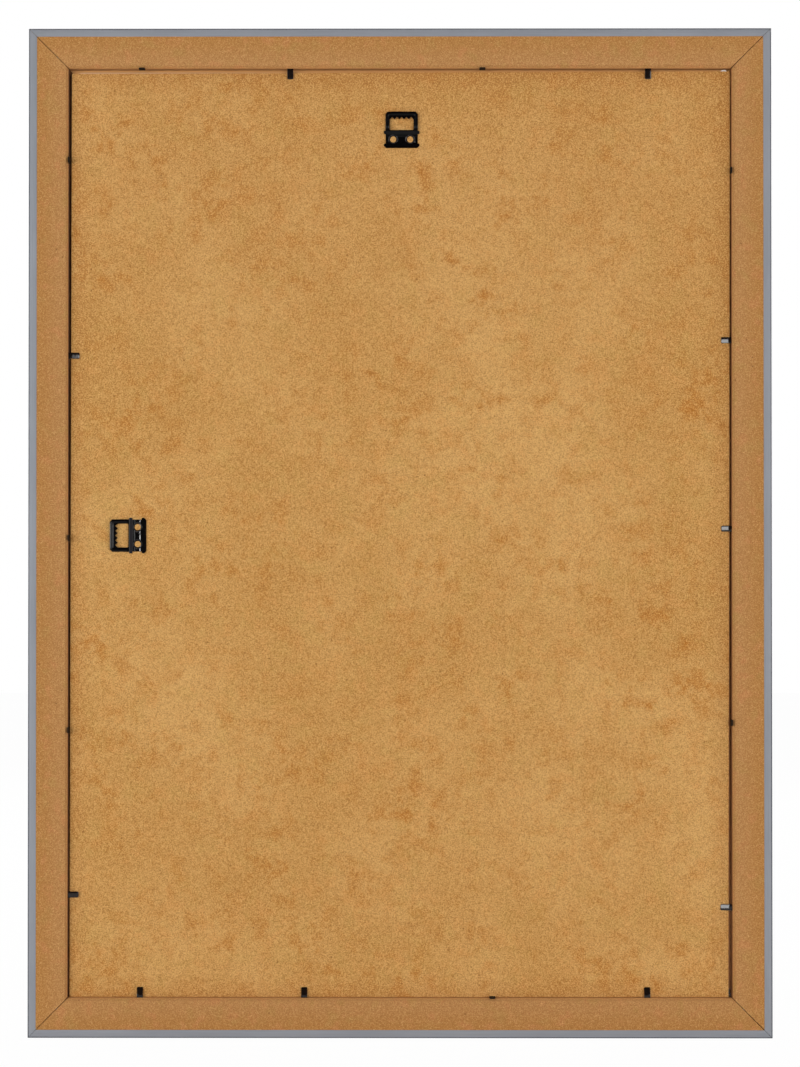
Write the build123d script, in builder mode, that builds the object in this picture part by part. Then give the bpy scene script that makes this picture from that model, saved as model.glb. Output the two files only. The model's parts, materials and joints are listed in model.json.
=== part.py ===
from build123d import *
from math import atan2, cos, radians, sin, sqrt, tan
import os

# A foil-wrapped picture frame for the 50 x 70 cm format, in the pose in which it hangs: +Z is up,
# the picture faces -Y and the wall is the plane Y = 0. The origin is on the wall, where the nail
# under the upper hanger sits. Left and right are as seen from the front. All sizes are millimetres.

# Sheets that lie in the rebate, on the lip: glazing, insert and backing
picture_width = 500.0
picture_height = 700.0
glazing_thickness = 2.0
insert_thickness = 0.4
insert_lift = 1.6  # the insert has slipped up this far
backing_thickness = 3.0
backing_trim = 1.3  # the backing is cut this much narrower than the other sheets
backing_turn = 0.09  # degrees by which it lies askew, with its -X corner on the lower rail
side_play = 2.0  # the rebate is this much wider than the sheets
top_play = 3.0  # and this much taller, all of it above them

# Rail section
rail_width = 30.0  # outer side to rebate wall
rail_depth = 16.0  # front to wall
lip_cover = 6.0  # the lip reaches this far past the rebate wall
lip_thickness = 4.5
front_outer_radius = 2.0
sight_radius = 1.5
back_outer_radius = 1.2
rebate_arris_radius = 2.0
foil_thickness = 0.25
foil_lap = 6.2  # width of the foil band on the back
core_mitre_gap = 0.3
foil_mitre_gap = 0.06

# V-nails across the mitres
nail_inset = 21.5  # apex of the V from both outer sides
nail_span = 4.5  # across the wings
nail_reach = 1.6  # apex to wing tips
nail_thickness = 0.8
nail_length = 8.0
nail_sink = 0.4  # below the bare back of the rail

# Bendable points in the rebate wall
point_width = 4.6
point_thickness = 0.5
point_length = 6.7  # bend to tip
point_tip_radius = 0.9
point_stub = 0.9  # rebate wall to the bend
bend_clearance = 0.1
tip_clearance = 0.15  # between a closed tip and the backing
anchor_depth = 9.0
closed_angle = -15.0  # a closed point slopes down to the backing
open_angle = 98.0

# Where the points are along each rail, as shares of half the rebate, clockwise round the front
point_places = {
    "top": ((-0.749, closed_angle), (-0.249, open_angle), (0.331, closed_angle), (0.778, open_angle)),
    "right": (
        (-0.802, open_angle),
        (-0.381, closed_angle),
        (0.012, open_angle),
        (0.425, open_angle),
        (0.779, closed_angle),
    ),
    "bottom": ((-0.783, closed_angle), (-0.288, closed_angle), (0.278, open_angle), (0.744, closed_angle)),
    "left": (
        (-0.806, closed_angle),
        (-0.409, open_angle),
        (0.008, closed_angle),
        (0.414, closed_angle),
        (0.779, open_angle),
    ),
}

# Stamped sawtooth hangers, measured up from the lower edge of the plate
hanger_thickness = 1.0
hanger_height = 27.5
loop_width = 24.6
loop_edge_radius = 0.6  # on the back of the loop
window_bevel = 0.2
ear_width = 27.0
waist_width = 24.3  # between the ears
lower_ear_top = 3.4
upper_ear_bottom = 10.5
upper_ear_top = 12.9
ear_radius = 0.8
plate_corner_cut = 1.7
plate_corner_radius = 0.5
loop_corner_cut = 1.8
fold_run = 2.4  # the loop steps off the board over this length
fold_rise = 1.6
fold_radius = 0.6
window_bottom = 13.4
window_corner_radius = 0.8
notch_radius = 0.25
notch_height = 23.5  # root of the nail notches
notch_pitch = 3.6
notch_depth = 2.0
notch_count = 5
coin_bottom = 4.3  # the plate is pressed thinner between these two heights
coin_top = 9.4
coin_depth = 0.35
coin_slope = 0.9  # its edges slope over this length
hole_height = 6.6
hole_spacing = 12.9
hole_radius = 2.35
rim_radius = 3.4
rim_angle = 120.0
prong_root = 5.4
prong_tip = 3.0
prong_depth = 2.2

# Places of the hangers
portrait_inset = 36.5  # rebate wall to the nail notches
landscape_inset = 35.4
portrait_offset = 1.35  # the frame's middle lies this far towards +X of the upper hanger
landscape_offset = -2.4  # the side hanger lies this far off the frame's middle

rebate_width = picture_width + side_play
rebate_height = picture_height + top_play
outer_width = rebate_width + 2 * rail_width
outer_height = rebate_height + 2 * rail_width
glazing_front = rail_depth - lip_thickness
insert_front = glazing_front - glazing_thickness
backing_front = insert_front - insert_thickness
backing_face = backing_front - backing_thickness
bend_inset = point_stub + bend_clearance + point_thickness / 2
point_rise = point_length * sin(radians(-closed_angle)) + point_thickness / 2 + tip_clearance

up = Vector(0, 0, 1)
across = Vector(1, 0, 0)
back = Vector(0, 1, 0)
frame_centre = across * portrait_offset + up * (portrait_inset - rebate_height / 2)

# Each rail: the way to the picture, the outer side's distance from the middle, and half its length
rails = {
    "top": (-up, outer_height / 2, outer_width / 2),
    "right": (-across, outer_width / 2, outer_height / 2),
    "bottom": (up, outer_height / 2, outer_width / 2),
    "left": (across, outer_width / 2, outer_height / 2),
}
corners = ((-1, 1), (1, 1), (1, -1), (-1, -1))
hangers = {
    "hanger_portrait": (Vector(0, 0, 0), up),
    "hanger_landscape": (
        frame_centre + across * (rebate_width / 2 - landscape_inset) + up * landscape_offset,
        across,
    ),
}

os.makedirs("parts", exist_ok=True)


def keep(piece, name):
    piece.part.label = name
    export_step(piece.part, f"parts/{name}.step")


# Plane of a rail's section: local x runs in from the outer side, local y back from the front
def section_plane(side):
    inward, reach, _ = rails[side]
    return Plane(
        origin=frame_centre - inward * reach - back * rail_depth,
        x_dir=inward,
        z_dir=inward.cross(back),
    )


# Mitre at one end of a rail, facing out of it
def mitre_plane(side, end, gap):
    inward, reach, half_length = rails[side]
    along = inward.cross(back) * end
    facing = (inward + along).normalized()
    corner = frame_centre - inward * reach + along * half_length
    return Plane(origin=corner - facing * (gap / 2), z_dir=facing)


# Plane of a point on its rebate wall: local x runs in from the wall, local z to the wall of the room
def point_plane(side, share):
    inward, reach, half_length = rails[side]
    station = share * (half_length - rail_width)
    seat = frame_centre - inward * (reach - rail_width) + inward.cross(back) * station
    return Plane(origin=seat - back * (backing_face - point_rise), x_dir=inward, z_dir=back)


# The anchor's flat outline, from its driven tip to the bend
def anchor_outline(side, share):
    with BuildSketch(point_plane(side, share)) as outline:
        with BuildLine():
            Polyline(
                (point_stub, point_width / 2),
                (point_width / 2 - anchor_depth, point_width / 2),
                (-anchor_depth, 0),
                (point_width / 2 - anchor_depth, -point_width / 2),
                (point_stub, -point_width / 2),
                close=True,
            )
        make_face()
    return outline.sketch


# The V of a corner nail, on the bare back of the rails
def nail_outline(corner):
    inward = (-across * corner[0] - up * corner[1]).normalized()
    outer = across * (corner[0] * outer_width / 2) + up * (corner[1] * outer_height / 2)
    apex = frame_centre + outer + inward * (nail_inset * sqrt(2)) - back * foil_thickness
    with BuildSketch(Plane(origin=apex, x_dir=inward, z_dir=back)) as outline:
        with BuildLine():
            Polyline((nail_reach, nail_span / 2), (0, 0), (nail_reach, -nail_span / 2))
            offset(amount=nail_thickness / 2, mode=Mode.REPLACE)
        make_face()
    return outline.sketch


# Plane of a hanger on the back of the board: local y runs up the hanger, local z to the room's wall
def hanger_plane(name):
    notch, rising = hangers[name]
    seat = notch - rising * notch_height - back * backing_face
    return Plane(origin=seat, x_dir=rising.cross(back), z_dir=back)


# A prong under one edge of a hanger's waist, bent down into the board
def prong_outline(name, edge):
    seat = hanger_plane(name)
    edge_middle = seat.origin + seat.x_dir * (edge * (waist_width - hanger_thickness) / 2)
    with BuildSketch(Plane(origin=edge_middle, x_dir=seat.y_dir, z_dir=seat.x_dir)) as outline:
        with BuildLine():
            Polyline(
                (hole_height - prong_root / 2, hanger_thickness / 2),
                (hole_height + prong_root / 2, hanger_thickness / 2),
                (hole_height + prong_tip / 2, -prong_depth),
                (hole_height - prong_tip / 2, -prong_depth),
                close=True,
            )
        make_face()
    return outline.sketch


# Rails: bare fibreboard, with the slots of the points and corner nails
def make_rail(side):
    sight = rail_width + lip_cover - foil_thickness
    bare_back = rail_depth - foil_thickness
    with BuildPart() as rail:
        with BuildSketch(section_plane(side)):
            with BuildLine():
                FilletPolyline(
                    (sight, lip_thickness),
                    (sight, foil_thickness),
                    (foil_thickness, foil_thickness),
                    (foil_thickness, bare_back),
                    (rail_width, bare_back),
                    (rail_width, lip_thickness),
                    radius=(
                        sight_radius - foil_thickness,
                        front_outer_radius - foil_thickness,
                        back_outer_radius - foil_thickness,
                        rebate_arris_radius,
                    ),
                )
                Line((rail_width, lip_thickness), (sight, lip_thickness))
            make_face()
        extrude(amount=rails[side][2], both=True)
        for end in (-1, 1):
            split(bisect_by=mitre_plane(side, end, core_mitre_gap), keep=Keep.BOTTOM)
        for share, _ in point_places[side]:
            extrude(anchor_outline(side, share), amount=point_thickness / 2, both=True, mode=Mode.SUBTRACT)
        for corner in corners:
            extrude(nail_outline(corner), amount=-nail_sink - nail_length, mode=Mode.SUBTRACT)
    keep(rail, f"rail_{side}")


# Foil: wrapped from the sight edge round the front and the outer side to a band on the back
def make_foil(side):
    sight = rail_width + lip_cover
    with BuildPart() as foil:
        with BuildSketch(section_plane(side)):
            with BuildLine():
                for inset in (0, foil_thickness):
                    FilletPolyline(
                        (sight - inset, lip_thickness),
                        (sight - inset, inset),
                        (inset, inset),
                        (inset, rail_depth - inset),
                        (foil_lap, rail_depth - inset),
                        radius=(
                            sight_radius - inset,
                            front_outer_radius - inset,
                            back_outer_radius - inset,
                        ),
                    )
                Line((sight, lip_thickness), (sight - foil_thickness, lip_thickness))
                Line((foil_lap, rail_depth), (foil_lap, rail_depth - foil_thickness))
            make_face()
        extrude(amount=rails[side][2], both=True)
        for end in (-1, 1):
            split(bisect_by=mitre_plane(side, end, foil_mitre_gap), keep=Keep.BOTTOM)
    keep(foil, f"foil_{side}")


# Plane of a sheet in the rebate, through its middle: its lowest corner is this lift above the lower wall
def sheet_plane(depth, width, lift, turn):
    run, fall = cos(radians(turn)), sin(radians(turn))
    half_rise = (picture_height * run + width * fall) / 2
    middle = frame_centre + up * (lift + half_rise - rebate_height / 2) - back * depth
    return Plane(origin=middle, x_dir=-across * run - up * fall, z_dir=back)


# Glazing and insert, which lie one behind the other on the lip
def make_sheet(name, depth, thickness, lift):
    with BuildPart() as sheet:
        with BuildSketch(sheet_plane(depth, picture_width, lift, 0)):
            Rectangle(picture_width, picture_height)
        extrude(amount=thickness)
    keep(sheet, name)


# Backing board, slit by the prongs of the hangers
def make_backing():
    backing_width = picture_width - backing_trim
    slit = hanger_thickness / 2
    with BuildPart() as board:
        with BuildSketch(sheet_plane(backing_front, backing_width, 0, backing_turn)):
            Rectangle(backing_width, picture_height)
        extrude(amount=backing_thickness)
        for name in hangers:
            for edge in (-1, 1):
                extrude(prong_outline(name, edge), amount=slit, both=True, mode=Mode.SUBTRACT)
    keep(board, "backing_board")


# Hanger: one stamping with a stepped-up loop, a row of nail notches, ears, pressed holes and prongs
def make_hanger(name):
    seat = hanger_plane(name)
    fold_bottom = upper_ear_bottom
    fold_top = fold_bottom + fold_run
    miter = hanger_thickness * tan(atan2(fold_rise, fold_run) / 2)
    outer_fold = fold_radius + hanger_thickness
    loop_back = fold_rise + hanger_thickness
    window_half = notch_count * notch_pitch / 2
    tip_height = notch_height - notch_depth
    teeth = [(-window_half, tip_height)]
    for notch in range(notch_count):
        left = notch * notch_pitch - window_half
        teeth += [(left + notch_pitch / 2, notch_height), (left + notch_pitch, tip_height)]
    window_radii = [window_corner_radius] * 2 + [notch_radius] * len(teeth)
    with BuildPart() as hanger:
        # Side view: the plate lies on the board and the loop stands off it
        with BuildSketch(Plane(origin=seat.origin, x_dir=seat.y_dir, z_dir=seat.x_dir)):
            with BuildLine():
                FilletPolyline(
                    (0, 0),
                    (fold_bottom, 0),
                    (fold_top, fold_rise),
                    (hanger_height, fold_rise),
                    radius=(outer_fold, fold_radius),
                )
                FilletPolyline(
                    (0, hanger_thickness),
                    (fold_bottom - miter, hanger_thickness),
                    (fold_top - miter, loop_back),
                    (hanger_height, loop_back),
                    radius=(fold_radius, outer_fold),
                )
                Line((0, 0), (0, hanger_thickness))
                Line((hanger_height, fold_rise), (hanger_height, loop_back))
            make_face()
        extrude(amount=ear_width / 2, both=True)
        # Seen flat: ears, waist, loop and the window with its notches
        with BuildSketch(seat):
            with BuildLine():
                FilletPolyline(
                    (0, 0),
                    (ear_width / 2 - plate_corner_cut, 0),
                    (ear_width / 2, plate_corner_cut),
                    (ear_width / 2, lower_ear_top),
                    (waist_width / 2, lower_ear_top),
                    (waist_width / 2, upper_ear_bottom),
                    (ear_width / 2, upper_ear_bottom),
                    (ear_width / 2, upper_ear_top),
                    (loop_width / 2, upper_ear_top),
                    (loop_width / 2, hanger_height - loop_corner_cut),
                    (loop_width / 2 - loop_corner_cut, hanger_height),
                    (0, hanger_height),
                    radius=(
                        plate_corner_radius,
                        plate_corner_radius,
                        ear_radius,
                        0,
                        0,
                        ear_radius,
                        ear_radius,
                        0,
                        0,
                        0,
                    ),
                )
                mirror(about=Plane.YZ)
            make_face()
            with BuildLine():
                FilletPolyline(
                    (window_half, window_bottom),
                    (-window_half, window_bottom),
                    *teeth,
                    radius=window_radii,
                    close=True,
                )
            make_face(mode=Mode.SUBTRACT)
        extrude(amount=loop_back, mode=Mode.INTERSECT)
        # The back of the loop has round edges, and its window a fine bevel up to the notches
        rising = Axis(seat.origin, seat.y_dir)
        window = hanger.faces().sort_by(Axis(seat.origin, seat.z_dir))[-1].inner_wires()[0].edges()
        chamfer(
            window.filter_by_position(rising, window_bottom, tip_height - notch_radius, (True, False)),
            length=window_bevel,
        )
        outside = hanger.faces().sort_by(Axis(seat.origin, seat.z_dir))[-1].outer_wire().edges()
        fillet(
            outside.filter_by_position(rising, upper_ear_top, hanger_height, (False, True)),
            radius=loop_edge_radius,
        )
        # The plate is pressed thinner between the ears, round two holes
        with BuildSketch(Plane(origin=seat.origin, x_dir=seat.y_dir, z_dir=seat.x_dir)):
            with BuildLine():
                Polyline(
                    (coin_bottom, hanger_thickness),
                    (coin_bottom + coin_slope, hanger_thickness - coin_depth),
                    (coin_top - coin_slope, hanger_thickness - coin_depth),
                    (coin_top, hanger_thickness),
                    close=True,
                )
            make_face()
        extrude(amount=ear_width / 2, both=True, mode=Mode.SUBTRACT)
        with Locations(seat.offset(hanger_thickness - coin_depth)):
            with Locations((0, hole_height)):
                with GridLocations(hole_spacing, 0, 2, 1):
                    CounterSinkHole(hole_radius, rim_radius, hanger_thickness, rim_angle)
        for edge in (-1, 1):
            extrude(prong_outline(name, edge), amount=hanger_thickness / 2, both=True)
    keep(hanger, name)


# Anchors: the driven ends of the points, which stay in the rails
def make_anchors():
    with BuildPart() as anchors:
        for side, places in point_places.items():
            for share, _ in places:
                extrude(anchor_outline(side, share), amount=point_thickness / 2, both=True)
    keep(anchors, "point_anchors")


# Points: the tongues that are bent over the backing or away from it, with a round root on the bend
def make_point(name, side, share, angle):
    inward = rails[side][0]
    bend = point_plane(side, share).origin + inward * bend_inset
    leaning = inward * cos(radians(angle)) + back * sin(radians(angle))
    root_radius = point_thickness / 2
    with BuildPart() as point:
        with BuildSketch(Plane(origin=bend, x_dir=leaning, z_dir=inward.cross(back))):
            with BuildLine():
                Polyline(
                    (0, root_radius),
                    (point_length, root_radius),
                    (point_length, -root_radius),
                    (0, -root_radius),
                )
                ThreePointArc((0, -root_radius), (-root_radius, 0), (0, root_radius))
            make_face()
        extrude(amount=point_width / 2, both=True)
        tip = point.faces().sort_by(Axis(bend, leaning))[-1]
        fillet(tip.edges().filter_by(lambda edge: edge.length < point_width / 2), radius=point_tip_radius)
    keep(point, name)


# Corner nails: one V-nail across each mitre, driven from the back
def make_corner_nails():
    with BuildPart() as nails:
        for corner in corners:
            outline = nail_outline(corner)
            extrude(outline.moved(Location(-back * nail_sink)), amount=-nail_length)
    keep(nails, "corner_nails")


for side in rails:
    make_rail(side)
    make_foil(side)
    for number, (share, angle) in enumerate(point_places[side], 1):
        make_point(f"point_{side}_{number}", side, share, angle)
make_anchors()
make_corner_nails()
make_sheet("glazing", glazing_front, glazing_thickness, 0)
make_sheet("insert_sheet", insert_front, insert_thickness, insert_lift)
make_backing()
for name in hangers:
    make_hanger(name)
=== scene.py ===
import json
import bmesh
import bpy
import numpy as np
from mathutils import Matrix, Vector


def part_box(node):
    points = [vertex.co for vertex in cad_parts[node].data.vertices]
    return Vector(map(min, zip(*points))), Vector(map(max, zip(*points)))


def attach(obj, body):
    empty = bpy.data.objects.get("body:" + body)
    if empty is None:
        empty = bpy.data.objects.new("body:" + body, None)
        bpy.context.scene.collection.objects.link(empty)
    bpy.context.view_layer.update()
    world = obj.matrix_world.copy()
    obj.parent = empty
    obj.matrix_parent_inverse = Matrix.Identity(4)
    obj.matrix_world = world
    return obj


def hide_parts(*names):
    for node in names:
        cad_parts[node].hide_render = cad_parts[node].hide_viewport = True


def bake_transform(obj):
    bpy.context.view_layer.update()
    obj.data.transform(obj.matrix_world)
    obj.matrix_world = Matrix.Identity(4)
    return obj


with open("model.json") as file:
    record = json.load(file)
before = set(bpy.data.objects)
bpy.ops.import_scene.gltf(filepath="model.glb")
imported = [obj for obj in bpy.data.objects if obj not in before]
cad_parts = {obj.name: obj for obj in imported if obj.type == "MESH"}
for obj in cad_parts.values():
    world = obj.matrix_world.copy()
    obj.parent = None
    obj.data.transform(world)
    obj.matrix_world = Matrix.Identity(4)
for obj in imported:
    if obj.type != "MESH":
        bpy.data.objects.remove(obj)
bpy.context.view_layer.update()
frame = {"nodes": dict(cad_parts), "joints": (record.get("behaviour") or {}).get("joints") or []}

mm = 0.001
scene = bpy.context.scene
scene.view_settings.view_transform = "Standard"

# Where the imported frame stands: +Z is up, the picture faces -Y, the wall is Y = 0
lowCorner = np.array([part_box("foil_left")[0][0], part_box("foil_bottom")[0][2]]) / mm
highCorner = np.array([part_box("foil_right")[1][0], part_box("foil_top")[1][2]]) / mm
middleX, middleZ = (lowCorner + highCorner) / 2
halfWide, halfHigh = (highCorner - lowCorner) / 2
middle = np.array([middleX, 0, middleZ])
wallWard = np.array([0, 1, 0])

# For each rail: the way to the picture, how far its outer side is from the middle, half its length
sides = {
    "Top": (np.array([0, 0, -1]), halfHigh, halfWide),
    "Right": (np.array([-1, 0, 0]), halfWide, halfHigh),
    "Bottom": (np.array([0, 0, 1]), halfHigh, halfWide),
    "Left": (np.array([1, 0, 0]), halfWide, halfHigh),
}


# Camera, at the photograph's viewing angle: square to the back, in mm from the frame's middle
view = {"place": (-10.25, 2200, -25.9), "aim": (-0.1, 0, -0.9), "lens": 98.28}
cameraData = bpy.data.cameras.new("backCamera")
cameraData.lens = view["lens"]
camera = bpy.data.objects.new("backCamera", cameraData)
camera.location = (middle + view["place"]) * mm
sight = Vector(view["aim"]) - Vector(view["place"])
camera.rotation_euler = sight.to_track_quat("-Z", "Y").to_euler()
scene.collection.objects.link(camera)
scene.camera = camera


# Quads between neighbouring rows and columns of a grid; wrap joins its last column to its first
def gridQuads(rows, columns, wrap=True):
    row = np.arange(rows - 1)[:, None] * columns
    column = np.arange(columns if wrap else columns - 1)[None, :]
    beside, above = (column + 1) % columns, row + columns
    return np.stack([row + column, row + beside, above + beside, above + column], -1).reshape(-1, 4)


# Faces of a closed profile carried along a path: quads between the profiles, and a cap at each end
def sweptFaces(rows, columns):
    first = np.arange(columns)
    last = first + (rows - 1) * columns
    return gridQuads(rows, columns).tolist() + [first.tolist(), last.tolist()]


# A UV map from two values in metres for each point of a mesh
def setChart(mesh, chart):
    corner = np.zeros(len(mesh.loops), int)
    mesh.loops.foreach_get("vertex_index", corner)
    mesh.uv_layers.new(name="run").data.foreach_set("uv", chart.reshape(-1, 2)[corner].ravel())


# A mesh from points in mm; its faces are turned outwards, and edges sharper than the angle stay sharp
def makePiece(name, points, faces, finish, chart=None, sharp=32):
    mesh = bpy.data.meshes.new(name)
    mesh.from_pydata((points.reshape(-1, 3) * mm).tolist(), [], faces)
    shell = bmesh.new()
    shell.from_mesh(mesh)
    bmesh.ops.recalc_face_normals(shell, faces=shell.faces)
    shell.to_mesh(mesh)
    shell.free()
    if chart is not None:
        setChart(mesh, chart * mm)
    mesh.shade_smooth()
    mesh.set_sharp_from_angle(angle=np.radians(sharp))
    mesh.materials.append(finish)
    piece = bpy.data.objects.new(name, mesh)
    scene.collection.objects.link(piece)
    return piece


# Each corner of a closed outline becomes an arc tangent to both its sides, swept from one to the other
def roundCorners(corners, radii, steps=7):
    corner, radius = np.array(corners, float), np.array(radii, float)[:, None]
    before, after = np.roll(corner, 1, 0) - corner, np.roll(corner, -1, 0) - corner
    before /= np.linalg.norm(before, axis=1, keepdims=True)
    after /= np.linalg.norm(after, axis=1, keepdims=True)
    half = np.arccos((before * after).sum(1, keepdims=True)) / 2
    inside = before + after
    inside /= np.linalg.norm(inside, axis=1, keepdims=True)
    centre = corner + inside * radius / np.sin(half)
    start = corner + before * radius / np.tan(half) - centre
    stop = corner + after * radius / np.tan(half) - centre
    turn = (np.pi - 2 * half)[:, None]
    share = np.linspace(0, 1, steps)[None, :, None]
    arc = np.sin((1 - share) * turn) * start[:, None] + np.sin(share * turn) * stop[:, None]
    return (centre[:, None] + arc / np.sin(turn)).reshape(-1, 2)


# How far along a line each of its points is
def runLength(line):
    return np.concatenate([[0], np.cumsum(np.linalg.norm(np.diff(line, axis=0), axis=1))])


# The points at given places along a line
def pointsAt(line, place):
    length = runLength(line)
    return np.stack([np.interp(place, length, line[:, axis]) for axis in (0, 1)], 1)


# A closed outline with points added so that no stretch is longer than the step
def fillOut(outline, step):
    ring = np.vstack([outline, outline[:1]])
    length = runLength(ring)
    count = np.maximum(np.ceil(np.diff(length) / step).astype(int), 1)
    stretch = np.repeat(np.arange(len(outline)), count)
    within = np.arange(count.sum()) - np.repeat(np.cumsum(count) - count, count)
    return pointsAt(ring, length[stretch] + np.diff(length)[stretch] * within / count[stretch])


# A closed outline moved inwards by the ease, along normals worked out from each point's two neighbours
def easeIn(outline, ease):
    tangent = np.roll(outline, -1, 0) - np.roll(outline, 1, 0)
    tangent /= np.linalg.norm(tangent, axis=1, keepdims=True)
    x, y = outline.T
    winding = np.sign((x * np.roll(y, -1) - np.roll(x, -1) * y).sum())
    return outline + winding * ease * np.stack([-tangent[:, 1], tangent[:, 0]], 1)


# A soft wander between -1 and 1: three sines of unlike pitch added up
def wander(place, pitch, phase):
    turn = 2 * np.pi * place / pitch
    second, third = np.sin(2.33 * turn + 2.1 * phase), np.sin(5.17 * turn + 3.7 * phase)
    return (np.sin(turn + phase) + second + third) / 3


# Linear colour from one written as sRGB 0 to 255
def tone(red, green, blue):
    value = np.array([red, green, blue]) / 255
    linear = np.where(value <= 0.04045, value / 12.92, ((value + 0.055) / 1.055) ** 2.4)
    return (*linear.tolist(), 1)


# A shader node; each of its values is a number, or another node's output that is linked
def addNode(tree, kind, values=None, **settings):
    made = tree.nodes.new("ShaderNode" + kind)
    for key, value in settings.items():
        setattr(made, key, value)
    for key, value in (values or {}).items():
        if isinstance(value, bpy.types.NodeSocket):
            tree.links.new(value, made.inputs[key])
        else:
            made.inputs[key].default_value = value
    return made


def newFinish(name, sheen=0.5, **sockets):
    finish = bpy.data.materials.new(name)
    finish.use_nodes = True
    tree = finish.node_tree
    shader = tree.nodes["Principled BSDF"]
    shader.inputs["Specular IOR Level"].default_value = sheen
    for key, value in sockets.items():
        shader.inputs[key].default_value = value
    return finish, tree, shader


def objectPlace(tree):
    return addNode(tree, "TexCoord").outputs["Object"]


def chartPlace(tree):
    return addNode(tree, "UVMap", uv_map="run").outputs[0]


def separate(tree, place):
    return addNode(tree, "SeparateXYZ", {0: place}).outputs


# A Mix node's sockets 6 and 7 are its two colours, and its output 2 is the mixed one
def mixTone(tree, share, first, second):
    return addNode(tree, "Mix", {0: share, 6: first, 7: second}, data_type="RGBA").outputs[2]


# Noise at a scale per metre
def cloud(tree, place, scale, detail=3.0, roughness=0.55, distortion=0.0):
    values = {"Vector": place, "Scale": scale, "Detail": detail}
    values |= {"Roughness": roughness, "Distortion": distortion}
    return addNode(tree, "TexNoise", values).outputs[0]


# A value between low and high becomes one between start and stop, smoothly
def spread(tree, value, low, high, start=0.0, stop=1.0):
    values = {"Value": value, "From Min": low, "From Max": high, "To Min": start, "To Max": stop}
    return addNode(tree, "MapRange", values, interpolation_type="SMOOTHSTEP").outputs[0]


def combine(tree, first, second, operation="MULTIPLY"):
    return addNode(tree, "Math", {0: first, 1: second}, operation=operation).outputs[0]


def roughen(tree, shader, height, strength, deep=0.1 * mm):
    bump = addNode(tree, "Bump", {"Strength": strength, "Distance": deep, "Height": height})
    tree.links.new(bump.outputs[0], shader.inputs["Normal"])


# Soft blots of another tone: noise that comes in between two levels, up to the share
def blot(tree, place, colour, look):
    share = spread(tree, cloud(tree, place, *look["noise"]), *look["levels"], 0, look["share"])
    return mixTone(tree, share, colour, tone(*look["tone"]))


# What the two kinds of board share: grain with dark hollows and pale peaks, fibres and specks
grainLook = {
    "noise": (1250, 1, 0.6),
    "hollows": (0.2, 0.55),
    "peaks": (0.45, 0.8),
    "bump": 0.2,
    "fibreNoise": (1 / mm, 1.0, 0.4),
    "fibreEdge": 0.08,
    "speckCore": 0.4,
}


# Thin fibres: noise stretched along a line in the back's plane, of which only the peaks are kept
def fibres(tree, place, angle, long, fine, keep):
    turned = addNode(tree, "Mapping", {"Vector": place, "Rotation": (0, np.radians(angle), 0)}).outputs[0]
    drawn = addNode(tree, "Mapping", {"Vector": turned, "Scale": (1 / long, 1 / fine, 1 / fine)}).outputs[0]
    noise = cloud(tree, drawn, *grainLook["fibreNoise"])
    return spread(tree, noise, keep, keep + grainLook["fibreEdge"])


# Round specks: cells of which a few are drawn by their random colour
def specks(tree, place, scale, size, few):
    cell = addNode(tree, "TexVoronoi", {"Vector": place, "Scale": scale})
    drawn = addNode(tree, "SeparateColor", {0: cell.outputs["Color"]}).outputs[0]
    dot = spread(tree, cell.outputs["Distance"], size, size * grainLook["speckCore"])
    return combine(tree, dot, combine(tree, drawn, few, "LESS_THAN"))


def strewGrain(tree, shader, place, colour, look):
    dark, pale = tone(*look["dark"]), tone(*look["pale"])
    grain = cloud(tree, place, *grainLook["noise"])
    roughen(tree, shader, grain, grainLook["bump"])
    hollows = spread(tree, grain, *grainLook["hollows"], look["hollowShare"], 0)
    colour = mixTone(tree, hollows, colour, dark)
    peaks = spread(tree, grain, *grainLook["peaks"], 0, look["peakShare"])
    colour = mixTone(tree, peaks, colour, pale)
    for angle in look["fibreWays"]:
        line = fibres(tree, place, angle, *look["fibre"])
        colour = mixTone(tree, combine(tree, line, look["fibreShare"]), colour, pale)
    dots = combine(tree, specks(tree, place, *look["specks"]), look["speckShare"])
    return mixTone(tree, dots, colour, dark)


# Bare fibreboard of the rails: sanded, fine-grained, with pale fibres and dark specks; its rebate wall has a
# painted tone, shade on the left and right rails and light on the level rails
fibreLook = {
    "base": (176, 127, 75),
    "outer": (172, 120, 62),
    "outerFade": (6 * mm, 27 * mm),  # from the rail's outer side
    "blush": {"tone": (190, 127, 78), "noise": (95, 2, 0.5), "levels": (0.52, 0.72), "share": 0.55},
    "olive": {"tone": (171, 131, 71), "noise": (70, 2, 0.5, 0.3), "levels": (0.52, 0.72), "share": 0.55},
    "pale": (214, 170, 110),
    "dark": (112, 68, 34),
    "hollowShare": 0.38,
    "peakShare": 0.44,
    "fibreWays": (15, 80, 140),  # degrees
    "fibre": (3.0, 0.6, 0.7),  # length and thickness in mm, level of the noise that is kept
    "fibreShare": 0.6,
    "specks": (230, 0.22, 0.06),  # cells per metre, size in its cell, share of cells with one
    "speckShare": 0.6,
    "wallFade": (29.8 * mm, 29.98 * mm),  # where the rebate wall and its painted light and shade begin
}
# Rebate wall tone of each finish: painted light on the level rails, painted shade on the left rail, darker
# painted shade on the right rail
paintedWallLightAndShade = {"levelBoardLitWall": (194, 143, 88), "leftBoardShadedWall": (150, 100, 58), "rightBoardShadedWall": (112, 73, 42)}


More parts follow.
